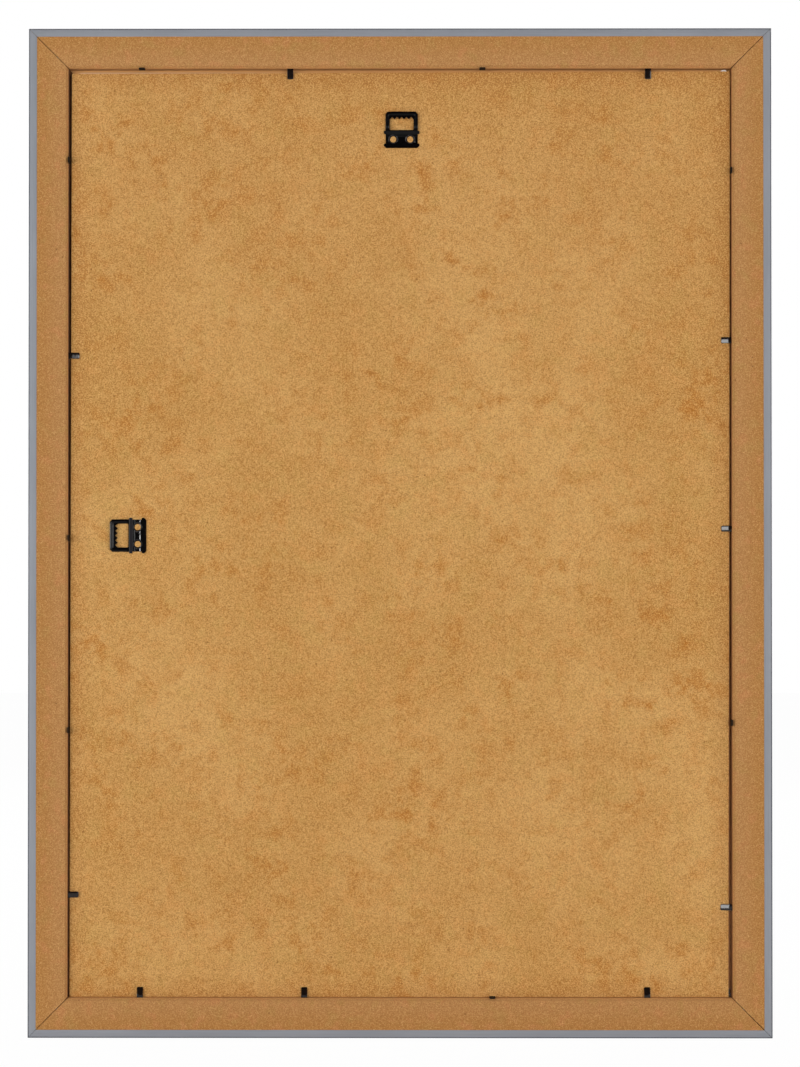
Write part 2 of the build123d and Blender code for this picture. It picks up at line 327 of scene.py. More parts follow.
def fibreboardFinish(name):
    finish, tree, shader = newFinish(name, 0.2, Roughness=0.85)
    place = objectPlace(tree)
    inset = separate(tree, chartPlace(tree))[1]
    inner = spread(tree, inset, *fibreLook["outerFade"])
    colour = mixTone(tree, inner, tone(*fibreLook["outer"]), tone(*fibreLook["base"]))
    colour = blot(tree, place, colour, fibreLook["blush"])
    colour = blot(tree, place, colour, fibreLook["olive"])
    colour = strewGrain(tree, shader, place, colour, fibreLook)
    # Painted shade on the rebate walls of the left and right rails, painted light on those of the level rails
    wall = spread(tree, inset, *fibreLook["wallFade"])
    tree.links.new(mixTone(tree, wall, colour, tone(*paintedWallLightAndShade[name])), shader.inputs["Base Color"])
    return finish


# Hardboard of the backing: soft orange and olive clouds, darker smudges, short fibres, a few dark flecks
boardLook = {
    "base": (190, 140, 75),
    "light": (205, 158, 94),
    "wide": (6, 3, 0.6),
    "wideLevels": (0.34, 0.66),
    "olive": {"tone": (187, 148, 78), "noise": (60, 3, 0.55, 0.3), "levels": (0.48, 0.7), "share": 0.35},
    "blush": {"tone": (206, 146, 80), "noise": (90, 3, 0.55), "levels": (0.5, 0.72), "share": 0.45},
    "smudge": (176, 108, 30),
    "patch": {"noise": (24, 4, 0.62), "levels": (0.38, 0.66), "shares": (0.4, 1)},
    "spot": {"noise": (76, 4, 0.62), "levels": (0.42, 0.74), "shares": (0, 1)},
    "often": {"noise": (8, 2, 0.5), "levels": (0.35, 0.65), "shares": (0.55, 1)},
    "edge": (165, 102, 42),
    "edgeFade": (0, 20 * mm),  # from the board's edges
    "edgeShare": 0.3,
    "upperFade": (-250 * mm, -50 * mm),  # heights between which the upper part darkens
    "upperShare": 0.18,
    "pale": (222, 180, 112),
    "dark": (118, 72, 20),
    "hollowShare": 0.6,
    "peakShare": 0.7,
    "fibreWays": (5, 50, 95, 150),
    "fibre": (2.4, 0.6, 0.71),
    "fibreShare": 0.35,
    "specks": (170, 0.17, 0.07),
    "speckShare": 0.6,
}


def hardboardFinish():
    finish, tree, shader = newFinish("hardboard", 0.2, Roughness=0.78)
    place = objectPlace(tree)
    wide = spread(tree, cloud(tree, place, *boardLook["wide"]), *boardLook["wideLevels"])
    colour = mixTone(tree, wide, tone(*boardLook["base"]), tone(*boardLook["light"]))
    colour = blot(tree, place, colour, boardLook["olive"])
    colour = blot(tree, place, colour, boardLook["blush"])
    smudges = []
    for layer in (boardLook["patch"], boardLook["spot"], boardLook["often"]):
        noise = cloud(tree, place, *layer["noise"])
        smudges.append(spread(tree, noise, *layer["levels"], *layer["shares"]))
    smudge = combine(tree, combine(tree, smudges[0], smudges[1]), smudges[2])
    colour = mixTone(tree, smudge, colour, tone(*boardLook["smudge"]))
    fromEdge, height = separate(tree, chartPlace(tree))[0], separate(tree, place)[2]
    border = spread(tree, fromEdge, *boardLook["edgeFade"], boardLook["edgeShare"], 0)
    colour = mixTone(tree, border, colour, tone(*boardLook["edge"]))
    upper = spread(tree, height, *boardLook["upperFade"], 0, boardLook["upperShare"])
    colour = mixTone(tree, upper, colour, tone(*boardLook["edge"]))
    tree.links.new(strewGrain(tree, shader, place, colour, boardLook), shader.inputs["Base Color"])
    return finish


# Satin silver-grey foil with a fine grain along the rail, and painted shade along the rounded outer edge of
# the back
foilLook = {
    "dark": (128, 131, 137),
    "light": (142, 145, 151),
    "stretch": (25, 2600, 1),  # of the grain, along the rail and across it
    "streak": (1, 3, 0.6),
    "haze": (14, 3),
    "levels": (0.3, 0.7),
    "streakShare": 0.6,
    "hazeShare": 0.4,
    # Painted shade on the rounded outer edge of the back
    "rim": (70, 73, 80),
    "rimShadeFade": (0.6 * mm, 1.3 * mm),  # from the outer side
    "rimShadeDepth": (-1.6 * mm, -0.6 * mm),  # below the back
    "rimShadeShare": 0.9,
    "roughLevels": (0.25, 0.75),
    "rough": (0.36, 0.5),
    "bump": 0.08,
}


def foilFinish():
    finish, tree, shader = newFinish("satinFoil", 0.3, Metallic=0.1, Roughness=0.42)
    place, run = objectPlace(tree), chartPlace(tree)
    drawn = addNode(tree, "Mapping", {"Vector": run, "Scale": foilLook["stretch"]}).outputs[0]
    streak, haze = cloud(tree, drawn, *foilLook["streak"]), cloud(tree, place, *foilLook["haze"])
    fine = spread(tree, streak, *foilLook["levels"], 0, foilLook["streakShare"])
    soft = spread(tree, haze, *foilLook["levels"], 0, foilLook["hazeShare"])
    light = combine(tree, fine, soft, "ADD")
    colour = mixTone(tree, light, tone(*foilLook["dark"]), tone(*foilLook["light"]))
    inset, depth = separate(tree, run)[1], separate(tree, place)[1]
    # Painted shade where the back rounds over to the outer side
    outer = spread(tree, inset, *foilLook["rimShadeFade"], foilLook["rimShadeShare"], 0)
    rim = combine(tree, outer, spread(tree, depth, *foilLook["rimShadeDepth"]))
    tree.links.new(mixTone(tree, rim, colour, tone(*foilLook["rim"])), shader.inputs["Base Color"])
    rough = spread(tree, streak, *foilLook["roughLevels"], *foilLook["rough"])
    tree.links.new(rough, shader.inputs["Roughness"])
    roughen(tree, shader, streak, foilLook["bump"])
    return finish


# Black lacquer on the stamped steel, a little thin and rubbed in places
lacquerLook = {
    "deep": {"black": (3, 2, 2), "rubbed": (12, 9, 10)},
    "sound": {"black": (18, 8, 3), "rubbed": (28, 17, 12)},
    # The worn look is pale rubbed lacquer, partly wear and partly a painted highlight on the holes' rims
    "wornAndHighlit": {"black": (30, 26, 26), "rubbed": (104, 97, 92)},
    "patch": (420, 3, 0.6),
    "patchLevels": (0.5, 0.72),
    "patchShare": 0.8,
    "gloss": (900, 2),
    "glossLevels": (0.3, 0.7),
    "bump": 0.12,
}
# Bare scuffs on the lower slope of a hanger's pressed strip, partly wear and partly a painted glint
scuffAndGlintLook = {
    "tone": (196, 190, 184),
    "comesIn": (4.2 * mm, 4.5 * mm),  # heights on the hanger
    "goesOut": (5.0 * mm, 5.3 * mm),
    "end": (3.6 * mm, 5.0 * mm),  # how far they reach along the strip
    "chips": (700, 2, 0.5),
    "levels": (0.5, 0.6),
}


# Chips of noise in a narrow band of heights, as far as the band's end: scuffs with a painted glint
def scuffsAndGlints(tree, place):
    along, height = separate(tree, chartPlace(tree))[:2]
    comesIn = spread(tree, height, *scuffAndGlintLook["comesIn"])
    band = combine(tree, comesIn, spread(tree, height, *scuffAndGlintLook["goesOut"], 1, 0))
    end = spread(tree, along, *scuffAndGlintLook["end"], 1, 0)
    chips = spread(tree, cloud(tree, place, *scuffAndGlintLook["chips"]), *scuffAndGlintLook["levels"])
    return combine(tree, combine(tree, band, end), chips)


def lacquerFinish(name, look, sheen, low, high, scuffedAndGlinting=False):
    finish, tree, shader = newFinish(name, sheen, Roughness=low)
    place = objectPlace(tree)
    patch = cloud(tree, place, *lacquerLook["patch"])
    share = spread(tree, patch, *lacquerLook["patchLevels"], 0, lacquerLook["patchShare"])
    black, rubbed = tone(*lacquerLook[look]["black"]), tone(*lacquerLook[look]["rubbed"])
    colour = mixTone(tree, share, black, rubbed)
    if scuffedAndGlinting:
        # Pale scuffs, partly wear and partly a painted glint
        colour = mixTone(tree, scuffsAndGlints(tree, place), colour, tone(*scuffAndGlintLook["tone"]))
    tree.links.new(colour, shader.inputs["Base Color"])
    gloss = cloud(tree, place, *lacquerLook["gloss"])
    tree.links.new(spread(tree, gloss, *lacquerLook["glossLevels"], low, high), shader.inputs["Roughness"])
    roughen(tree, shader, patch, lacquerLook["bump"])
    return finish


# Dull steel of the corner nails
nailLook = {"dark": (112, 109, 105), "light": (134, 131, 127), "stainAndShade": (700, 3), "levels": (0.35, 0.65)}


def nailFinish():
    finish, tree, shader = newFinish("nailSteel", Metallic=1.0, Roughness=0.45)
    stainAndShade = spread(tree, cloud(tree, objectPlace(tree), *nailLook["stainAndShade"]), *nailLook["levels"])
    colour = mixTone(tree, stainAndShade, tone(*nailLook["dark"]), tone(*nailLook["light"]))
    tree.links.new(colour, shader.inputs["Base Color"])
    return finish


# Clear pane, faintly uneven in tint; lamps shine through it
paneLook = {"dim": (246, 250, 248), "clear": (250, 252, 251), "haze": (20, 2), "levels": (0.3, 0.7)}


def glassFinish():
    finish, tree, shader = newFinish("clearPane", IOR=1.5, Roughness=0.02)
    shader.inputs["Transmission Weight"].default_value = 1.0
    tint = spread(tree, cloud(tree, objectPlace(tree), *paneLook["haze"]), *paneLook["levels"])
    colour = mixTone(tree, tint, tone(*paneLook["dim"]), tone(*paneLook["clear"]))
    tree.links.new(colour, shader.inputs["Base Color"])
    lamps = addNode(tree, "LightPath").outputs["Is Shadow Ray"]
    clear = addNode(tree, "BsdfTransparent")
    both = addNode(tree, "MixShader", {0: lamps, 1: shader.outputs[0], 2: clear.outputs[0]})
    tree.links.new(both.outputs[0], tree.nodes["Material Output"].inputs["Surface"])
    return finish


# Plain white sheet, with the faint cloudiness of paper, and painted shade, brown from the wood round it, near
# its edges and more of it near its sides
paperLook = {
    "dim": (232, 231, 227),
    "bright": (241, 240, 236),
    "pulp": (260, 4, 0.65),
    "levels": (0.3, 0.7),
    # Painted shade near the edges and near the sides, brown from the wood round the sheet
    "paintedEdgeShade": (204, 168, 130),
    "sides": (195, 140, 92),
    "edgeFade": (1 * mm, 6 * mm),
    "bump": 0.1,
    "bumpDeep": 0.05 * mm,
}


def paperFinish():
    finish, tree, shader = newFinish("whitePaper", Roughness=0.7)
    pulp = spread(tree, cloud(tree, objectPlace(tree), *paperLook["pulp"]), *paperLook["levels"])
    colour = mixTone(tree, pulp, tone(*paperLook["dim"]), tone(*paperLook["bright"]))
    fromEdge, fromSides = separate(tree, chartPlace(tree))[:2]
    # Painted shade, brown from the wood: near every edge, and again near the sides
    for far, stainAndShade in ((fromEdge, "paintedEdgeShade"), (fromSides, "sides")):
        share = spread(tree, far, *paperLook["edgeFade"], 1, 0)
        colour = mixTone(tree, share, colour, tone(*paperLook[stainAndShade]))
    tree.links.new(colour, shader.inputs["Base Color"])
    roughen(tree, shader, pulp, paperLook["bump"], paperLook["bumpDeep"])
    return finish


# Three copies of the fibreboard that differ only in the painted light and shade of the rebate wall
levelBoardLitWall = fibreboardFinish("levelBoardLitWall")
leftBoardShadedWall = fibreboardFinish("leftBoardShadedWall")
rightBoardShadedWall = fibreboardFinish("rightBoardShadedWall")
hardboard = hardboardFinish()
satinFoil = foilFinish()
hangerLacquer = lacquerFinish("hangerLacquer", "deep", sheen=0.13, low=0.1, high=0.18, scuffedAndGlinting=True)
pointLacquer = lacquerFinish("pointLacquer", "sound", sheen=0.33, low=0.08, high=0.12)
dullLacquer = lacquerFinish("dullLacquer", "deep", sheen=0.15, low=0.5, high=0.65)
# Rubbed lacquer with a painted highlight, for the holes' rims
wornAndHighlitLacquer = lacquerFinish("wornAndHighlitLacquer", "wornAndHighlit", sheen=0.2, low=0.25, high=0.35)
nailSteel = nailFinish()
clearPane = glassFinish()
whitePaper = paperFinish()
print("materials:", len(bpy.data.materials))


# Rails and their foil: one section carried along each side, cut at 45 degrees at both ends; in mm
rail = {
    "width": 30,  # outer side to rebate wall
    "depth": 16,
    "lipCover": 6,
    "lipThickness": 4.5,
    "foilThickness": 0.25,
    "foilLap": 6.2,  # on the back
    "frontRadius": 2.0,
    "sightRadius": 1.5,
    "backRadius": 1.2,
    "lipRadius": 0.2,
    "arrisCut": 1.95,  # where the back meets the rebate wall
    "arrisRadius": 0.35,
    "foilEdges": (0.05, 0.09),  # radii of its cut edges, the second on the back
    "ease": 0.12,  # of the mitres' edges
    "foilGap": (0.14, 0.012),  # at the back and at the front
    "foilGapDepth": 3,  # as far as the wider gap goes
    "step": 1.0,  # longest stretch of the section
    "stations": 25,
}
mitre = {
    # Open width at the outer and the inner end, by the corner's signs in X and Z
    "gaps": {(1, 1): (0.47, 0.35), (-1, 1): (0.43, 0.5), (1, -1): (0.42, 0.5), (-1, -1): (0.5, 0.4)},
    "wander": 0.2,
    "pitch": 7.0,
    "phase": (20, 9),  # times the two widths, so that no two mitres are alike
    "least": 0.15,
    "closed": (8, 5, 0.05),  # depth at which it has closed, over which depth, and what is left of it
}


# The width goes from the outer to the inner one, wanders, and closes towards the front
def mitreCut(inward, along, end, section):
    inset, depth = section.T
    corner = along * end - inward
    outer, inner = mitre["gaps"][(int(corner[0]), int(corner[2]))]
    share = (inset - rail["foilLap"]) / (rail["width"] - rail["foilLap"])
    phase = outer * mitre["phase"][0] + inner * mitre["phase"][1]
    width = outer + (inner - outer) * share + mitre["wander"] * wander(inset, mitre["pitch"], phase)
    shut, over, left = mitre["closed"]
    return np.maximum(width, mitre["least"]) * np.clip((shut - depth) / over, left, 1)


# The section's points are swept along the rail: each runs to the 45 degree cut less its share of the gap
def sweepRail(side, section, gap=None):
    inward, reach, half = sides[side]
    along = np.cross(inward, wallWard)
    ends = []
    for end in (-1, 1):
        width = mitreCut(inward, along, end, section) if gap is None else gap
        ends.append(end * (half - section[:, 0] - width * np.sqrt(0.5)))
    share = np.concatenate([[0], np.linspace(0, 1, rail["stations"]), [1]])[:, None]
    run = ends[0] + (ends[1] - ends[0]) * share
    run[1] += rail["ease"]
    run[-2] -= rail["ease"]
    rows = np.repeat(section[None], len(share), 0)
    rows[0] = rows[-1] = easeIn(section, rail["ease"])
    inset, depth = rows[..., 0], rows[..., 1]
    onBack = middle + (inset - reach)[..., None] * inward + run[..., None] * along
    points = onBack - depth[..., None] * wallWard
    return points, sweptFaces(len(share), len(section)), np.stack([run, inset], -1)


def buildRails():
    thick, front, lip = rail["foilThickness"], rail["depth"], rail["depth"] - rail["lipThickness"]
    wall, cut, lap = rail["width"], rail["arrisCut"], rail["foilLap"]
    edge = wall + rail["lipCover"]
    radii = [rail["sightRadius"], rail["frontRadius"], rail["backRadius"]]
    under = [radius - thick for radius in radii]
    inner = [
        (edge - thick, lip), (edge - thick, front - thick), (thick, front - thick),
        (thick, thick), (wall - cut, thick), (wall, thick + cut), (wall, lip),
    ]
    innerRadii = [rail["lipRadius"], *under, rail["arrisRadius"], rail["arrisRadius"], rail["lipRadius"]]
    core = fillOut(roundCorners(inner, innerRadii), rail["step"])
    wrap = [
        (edge, lip), (edge, front), (0, front), (0, 0), (lap, 0), (lap, thick),
        (thick, thick), (thick, front - thick), (edge - thick, front - thick), (edge - thick, lip),
    ]
    small, lapEdge = rail["foilEdges"]
    foil = roundCorners(wrap, [small, *radii, lapEdge, small, *under[::-1], small])
    foilGap = np.where(foil[:, 1] < rail["foilGapDepth"], *rail["foilGap"])
    # Each rail takes the fibreboard copy with the painted tone of its wall
    bare = {"Top": levelBoardLitWall, "Bottom": levelBoardLitWall, "Left": leftBoardShadedWall, "Right": rightBoardShadedWall}
    for side in sides:
        points, faces, chart = sweepRail(side, core)
        wood = makePiece("rail" + side, points, faces, bare[side], chart)
        points, faces, chart = sweepRail(side, foil, foilGap)
        skin = makePiece("foil" + side, points, faces, satinFoil, chart)
        for piece, node in ((wood, "rail_"), (skin, "foil_")):
            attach(piece, "frame")
            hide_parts(node + side.lower())


buildRails()
print("rails and foils built")


# A closed sheet between two faces over one grid: their borders are joined by a band of quads
def sheetShell(x, z, back, front):
    rows, columns = x.shape
    count = rows * columns
    points = np.concatenate([np.stack([x, y, z], -1).reshape(-1, 3) for y in (back, front)])
    index = np.arange(count).reshape(rows, columns)
    border = np.concatenate([index[0, :-1], index[:-1, -1], index[-1, :0:-1], index[:0:-1, 0]])
    beside = np.roll(border, -1)
    band = np.stack([border, beside, beside + count, border + count], -1)
    quads = gridQuads(rows, columns, False)
    return points, np.concatenate([quads, quads[:, ::-1] + count, band]).tolist()


# Places along one side of a sheet: close together at both edges, evenly spaced between them
def edgeSpaced(half, count, edge):
    return np.concatenate([-half + edge, np.linspace(-half, half, count)[1:-1], half - edge[::-1]])


# Backing board: a slab with eased edges, lying slightly askew on the lower rail
board = {
    "node": "backing_board",
    "trim": 0.8,  # narrower than the insert
    "shift": 0.1,  # towards +X
    "height": 700,
    "turn": 0.09,  # degrees, of its sides
    "leanMore": 0.08,  # of its -X side
    "topFall": 0.17,  # its upper edge falls towards +X, its lower edge lies straight on the rail
    "topRise": 0.14,
    "rest": 0.06,  # above the lower rail
    "ease": 0.35,
    "easeSteps": 6,
    "fuzz": 0.06,  # unevenness of the sawn edges
    "fuzzReach": 0.5,
    "fuzzPitch": (31, 23),  # of the upright and the level edges
    "fuzzPhase": (1.0, 4.0),
    "grid": (90, 120),
}


# Two places, across and up, make a slab; its edges are quarter circles, and its sides lean and fall
def buildBoard():
    low, high = (np.array(corner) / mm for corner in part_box(board["node"]))
    insertLow, insertHigh = (np.array(corner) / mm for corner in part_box("insert_sheet"))
    width, height = insertHigh[0] - insertLow[0] - board["trim"], board["height"]
    edge = board["ease"] * (1 - np.cos(np.linspace(0, np.pi / 2, board["easeSteps"])))
    columns, rows = board["grid"]
    across, rising = np.meshgrid(edgeSpaced(width / 2, columns, edge), edgeSpaced(height / 2, rows, edge))
    far = np.minimum(width / 2 - np.abs(across), height / 2 - np.abs(rising))
    drop = np.maximum(board["ease"] - far, 0)
    rounding = board["ease"] - np.sqrt(np.maximum(board["ease"] ** 2 - drop ** 2, 0))
    fuzz = (far < board["fuzzReach"]) * board["fuzz"]
    pitch, phase = board["fuzzPitch"], board["fuzzPhase"]
    across = across + np.sign(across) * fuzz * (wander(rising, pitch[0], phase[0]) - 1)
    rising = rising + np.sign(rising) * fuzz * (wander(across, pitch[1], phase[1]) - 1)
    lean, more, fall = np.tan(np.radians([board["turn"], board["leanMore"], board["topFall"]]))
    upShare, backShare = rising / height + 0.5, np.clip(-across / width * 2, 0, 1)
    x = (low[0] + high[0]) / 2 + board["shift"] + across - rising * (lean + more * backShare)
    foot = middleZ - halfHigh + rail["width"] + board["rest"]
    head = (low[2] + high[2] + height) / 2 + board["topRise"] - across * fall
    z = foot + (head - foot) * upShare
    points, faces = sheetShell(x, z, high[1] - rounding, low[1] + rounding)
    chart = np.repeat(np.stack([far, rising], -1)[None], 2, 0)
    piece = makePiece("backingBoard", points, faces, hardboard, chart)
    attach(piece, "frame")
    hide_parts(board["node"])


buildBoard()


# Insert: a plain white sheet, cut a little small, whose upper -X corner curls out behind the board's edge
insert = {
    "node": "insert_sheet",
    "gapRight": 2.4,  # to the rebate walls
    "gapLeft": 0.9,
    "gapTop": (2.65, 2.0),  # at its -X and +X ends
    "clip": 5.0,  # lower -X corner cut off
    "clipAcross": 40,
    "topClip": (7.0, 1.5),  # upper +X corner cut off, across and down
    "topClipFade": 10,
    "curlPlace": 4.6,
    "curlWide": 5.5,
    "curlHigh": 3.0,
    "curlRise": 1.8,
    "curlOut": 3.0,
    "curlPower": 1.5,
    "curlUnshaded": 9,  # the curl has no painted edge shade
    "near": (0, 0.5, 1, 1.5, 2, 2.5, 3.2, 4, 5, 6, 7, 8, 9, 10, 11, 12, 14),  # places close to an edge
    "grid": (30, 40),
}


# 1 at nothing, falling to 0 at the reach
def fadeOut(far, reach):
    return np.clip(1 - far / reach, 0, 1)


# Two shares, across and up, are stretched between the four edges; the curl is a bell across, fading downwards
def buildInsert():
    low, high = (np.array(corner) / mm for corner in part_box(insert["node"]))
    near, (columns, rows) = np.array(insert["near"]), insert["grid"]
    wallLeft, wallRight = middleX - halfWide + rail["width"], middleX + halfWide - rail["width"]
    edgeLeft, edgeRight = wallLeft + insert["gapLeft"], wallRight - insert["gapRight"]
    halfX, halfZ = (edgeRight - edgeLeft) / 2, (high[2] - low[2]) / 2
    level = edgeSpaced(halfX, columns, near) + (edgeLeft + edgeRight) / 2
    x, z = np.meshgrid(level, edgeSpaced(halfZ, rows, near) + halfZ)
    across, rising = (x - edgeLeft) / (2 * halfX), z / (2 * halfZ)
    topGap = insert["gapTop"][0] + (insert["gapTop"][1] - insert["gapTop"][0]) * across
    z = low[2] + rising * (middleZ + halfHigh - rail["width"] - topGap - low[2])
    fromSide, fromTop, fromBottom = x - edgeLeft, (1 - rising) * 2 * halfZ, rising * 2 * halfZ
    lost = fadeOut(fromBottom, insert["clip"]) * fadeOut(fromSide, insert["clipAcross"])
    bell = np.exp(-(((fromSide - insert["curlPlace"]) / (insert["curlWide"] / 2)) ** 4))
    lifted = fadeOut(fromTop, insert["curlHigh"]) * bell
    out = insert["curlOut"] * lifted ** insert["curlPower"]
    clipAcross, clipDown = insert["topClip"]
    short = clipDown * fadeOut(edgeRight - x, clipAcross) * fadeOut(fromTop, insert["topClipFade"])
    z = z + insert["curlRise"] * lifted - short
    points, faces = sheetShell(x + insert["clip"] * lost, z, high[1] + out, low[1] + out)
    # The curl is left out of the painted edge shade
    unshaded = insert["curlUnshaded"] * bell
    beside = np.minimum(fromSide, edgeRight - x) + unshaded
    fromEdge = np.minimum(beside, np.minimum(fromTop + unshaded, fromBottom))
    chart = np.repeat(np.stack([fromEdge, beside], -1)[None], 2, 0)
    piece = makePiece("insertSheet", points, faces, whitePaper, chart, sharp=60)
    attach(piece, "frame")
    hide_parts(insert["node"])


buildInsert()
print("backing board and insert built")


# Bendable points: a flat strip with a driven tip in the rail, a bend and a rounded tongue
point = {
    "halfWidth": 2.3,
    "halfThick": 0.25,
    "edgeRadius": 0.14,
    "edgeShare": 0.9,  # most that it may take of a narrow end
    "edgeSteps": 5,
    "length": 6.7,  # bend axis to tip
    "tipRadius": 0.9,
    "tipEase": 0.07,
    "anchor": 9.0,
    "sharpened": 0.04,  # share of the width left at the driven tip
    "leastHalf": 0.1,
    "bendIn": 1.25,  # rebate wall to bend axis
    "closed": {"angle": -15.0, "arc": 1.2, "place": 2.05},  # place of the bend, from the wall
    "open": {"angle": 98.0, "arc": 1.5, "place": 1.25},
    "longer": {"point_left_1": 1.0, "point_right_2": 0.4},
    # Degrees
    "lessBent": {"point_right_2": 2.0, "point_right_5": 9.0, "point_top_1": 8.0, "point_top_3": 8.0},
    "twist": {"point_left_1": 4.5},
    "stations": {"driven": 8, "bend": 15, "tongue": 9, "tip": 8},
    "lineSteps": 4001,  # for adding up the centre line
    "blend": (1.1, 1.2),  # most before the bend axis, and past it
}


# The centre line runs in along the wall's normal, turns on an arc, and runs on at the angle:
# its heading is the arc's share of the angle, and the line is the heading added up;
# a rounded rectangle is carried along it, narrowed at both ends and twisted past the bend
def buildPoint(joint):
    node = joint["child"]
    side, number = node.split("_")[1:]
    inward = sides[side.capitalize()][0]
    along = np.cross(inward, wallWard)
    axis = np.array(joint["pos_m"]) / mm
    wallSide = axis - inward * point["bendIn"]
    closed = joint["range_deg"][0] == 0
    pose, count = point["closed" if closed else "open"], point["stations"]
    angle, arc = np.radians(pose["angle"] + point["lessBent"].get(node, 0)), pose["arc"]
    half, tip, ease = point["halfWidth"], point["tipRadius"], point["tipEase"]

    # Places along the strip
    arm = abs(arc / angle * np.tan(angle / 2))
    bendFrom = point["anchor"] + pose["place"] - arm
    bendTo = bendFrom + arc
    total = bendTo + point["length"] + point["bendIn"] - pose["place"] + point["longer"].get(node, 0) - arm
    rounding = total - tip + tip * np.sin(np.linspace(0, np.pi / 2, count["tip"]))
    station = np.concatenate([
        [0], np.linspace(half, bendFrom, count["driven"]), np.linspace(bendFrom, bendTo, count["bend"])[1:],
        np.linspace(bendTo, rounding[0], count["tongue"])[1:], rounding[1:-1], [total - ease, total],
    ])

    # Centre line
    fine = np.linspace(0, total, point["lineSteps"])
    heading = angle * np.clip((fine - bendFrom) / arc, 0, 1)
    between = (heading[1:] + heading[:-1]) / 2
    lineIn, lineOut = (np.concatenate([[0], np.cumsum(way(between))]) * fine[1] for way in (np.cos, np.sin))
    runIn = np.interp(station, fine, lineIn) - point["anchor"]
    runOut = np.interp(station, fine, lineOut)
    turned = np.interp(station, fine, heading)[:, None]

    # Rounded rectangle at each place
    past = np.maximum(station - rounding[0], 0)
    driven = np.clip(station / half, point["sharpened"], 1) * half
    width = driven - tip + np.sqrt(np.maximum(tip ** 2 - past ** 2, 0))
    width = np.maximum(width, point["leastHalf"])[:, None]
    shrink = np.where(station == total, ease, 0)[:, None]
    square, steps = np.array([(-1, -1), (1, -1), (1, 1), (-1, 1)]), point["edgeSteps"]
    corner, bent = np.repeat(square, steps, 0), roundCorners(square, [1.0] * 4, steps)
    thick, radius = point["halfThick"], point["edgeRadius"]
    spare = np.minimum(radius, width * point["edgeShare"])
    aside = corner[:, 0] * (width - spare - shrink) + bent[:, 0] * spare
    above = corner[:, 1] * (thick - radius - shrink) + bent[:, 1] * radius
    twist = np.radians(point["twist"].get(node, 0)) * np.clip((station - bendFrom) / arc, 0, 1)[:, None]
    level = aside * np.cos(twist) + above * np.sin(twist)
    raised = above * np.cos(twist) - aside * np.sin(twist)
    alongIn = runIn[:, None] - raised * np.sin(turned)
    alongOut = runOut[:, None] + raised * np.cos(turned)
    upright = wallSide + alongIn[..., None] * inward + alongOut[..., None] * wallWard
    points = upright + level[..., None] * along

    faces, finish = sweptFaces(len(station), len(corner)), pointLacquer if closed else dullLacquer
    piece = makePiece("point" + side.capitalize() + number, points, faces, finish, sharp=50)
    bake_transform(piece)
    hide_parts(node, "point_anchors")


for joint in frame["joints"]:
    buildPoint(joint)


# Hangers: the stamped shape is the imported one, with its triangles joined up and its cut edges broken
hanger = {
    "nodes": {"hanger_portrait": "hangerPortrait", "hanger_landscape": "hangerLandscape"},
    "mergeWithin": 1e-6,  # metres
    "flatWithin": 1.5,  # degrees
    "sharpFrom": 25,
    "brokenFrom": 35,
    "brokenEdge": 0.13,
}


# The chart gives how far a place is from the end with the scuffs and painted glints, and its height above the
# plate's lower edge;
# the hanger at the side has them all along
def chartHanger(mesh, node):
    places = np.zeros(len(mesh.vertices) * 3)
    mesh.vertices.foreach_get("co", places)
    across, height = (places.reshape(-1, 3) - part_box(node)[0]).T[[0, 2]]
    upright = node == "hanger_portrait"
    setChart(mesh, np.stack([across, height] if upright else [np.zeros_like(across), across], 1))


def buildHanger(node, name):
    shell = bmesh.new()
    shell.from_mesh(frame["nodes"][node].data)
    bmesh.ops.remove_doubles(shell, verts=shell.verts, dist=hanger["mergeWithin"])
    flat = np.radians(hanger["flatWithin"])
    bmesh.ops.dissolve_limit(shell, angle_limit=flat, verts=shell.verts, edges=shell.edges)
    mesh = bpy.data.meshes.new(name)
    shell.to_mesh(mesh)
    shell.free()
    chartHanger(mesh, node)
    mesh.shade_smooth()
    mesh.set_sharp_from_angle(angle=np.radians(hanger["sharpFrom"]))
    mesh.materials.append(hangerLacquer)
    piece = bpy.data.objects.new(name, mesh)
    scene.collection.objects.link(piece)
    broken = piece.modifiers.new("brokenEdge", "BEVEL")
    broken.width = hanger["brokenEdge"] * mm
    broken.segments = 2
    broken.limit_method = "ANGLE"
    broken.angle_limit = np.radians(hanger["brokenFrom"])
    broken.use_clamp_overlap = True
    even = piece.modifiers.new("flatNormals", "WEIGHTED_NORMAL")
    even.keep_sharp = True
    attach(piece, "frame")
    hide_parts(node)


# Rounded bars of the loop, given by their middle, and pressed rims of the holes
relief = {
    "loop": {"half": 10.9, "top": 26.1, "foot": 14.0, "corner": 1.9, "width": 2.7, "rise": 0.28},
    "loopFade": 2,
    "loopSteps": (9, 101),  # of a corner, and of the whole loop
    "rim": {"half": 6.45, "height": 6.6, "radius": 3.45, "width": 0.8, "rise": 0.12, "level": 0.65},
    "rimSteps": 60,
    "arcSteps": 15,
    "sunk": 0.2,  # into the plate
}


# A low arc of a circle, closed underneath: how far it reaches to both sides, and its height there
def lowArc(width, rise):
    reach = np.linspace(-width / 2, width / 2, relief["arcSteps"])
    radius = (width ** 2 / 4 + rise ** 2) / (2 * rise)
    height = np.sqrt(radius ** 2 - reach ** 2) - radius + rise
    return np.concatenate([reach, reach[[-1, 0]]]), np.concatenate([height, [-relief["sunk"]] * 2])


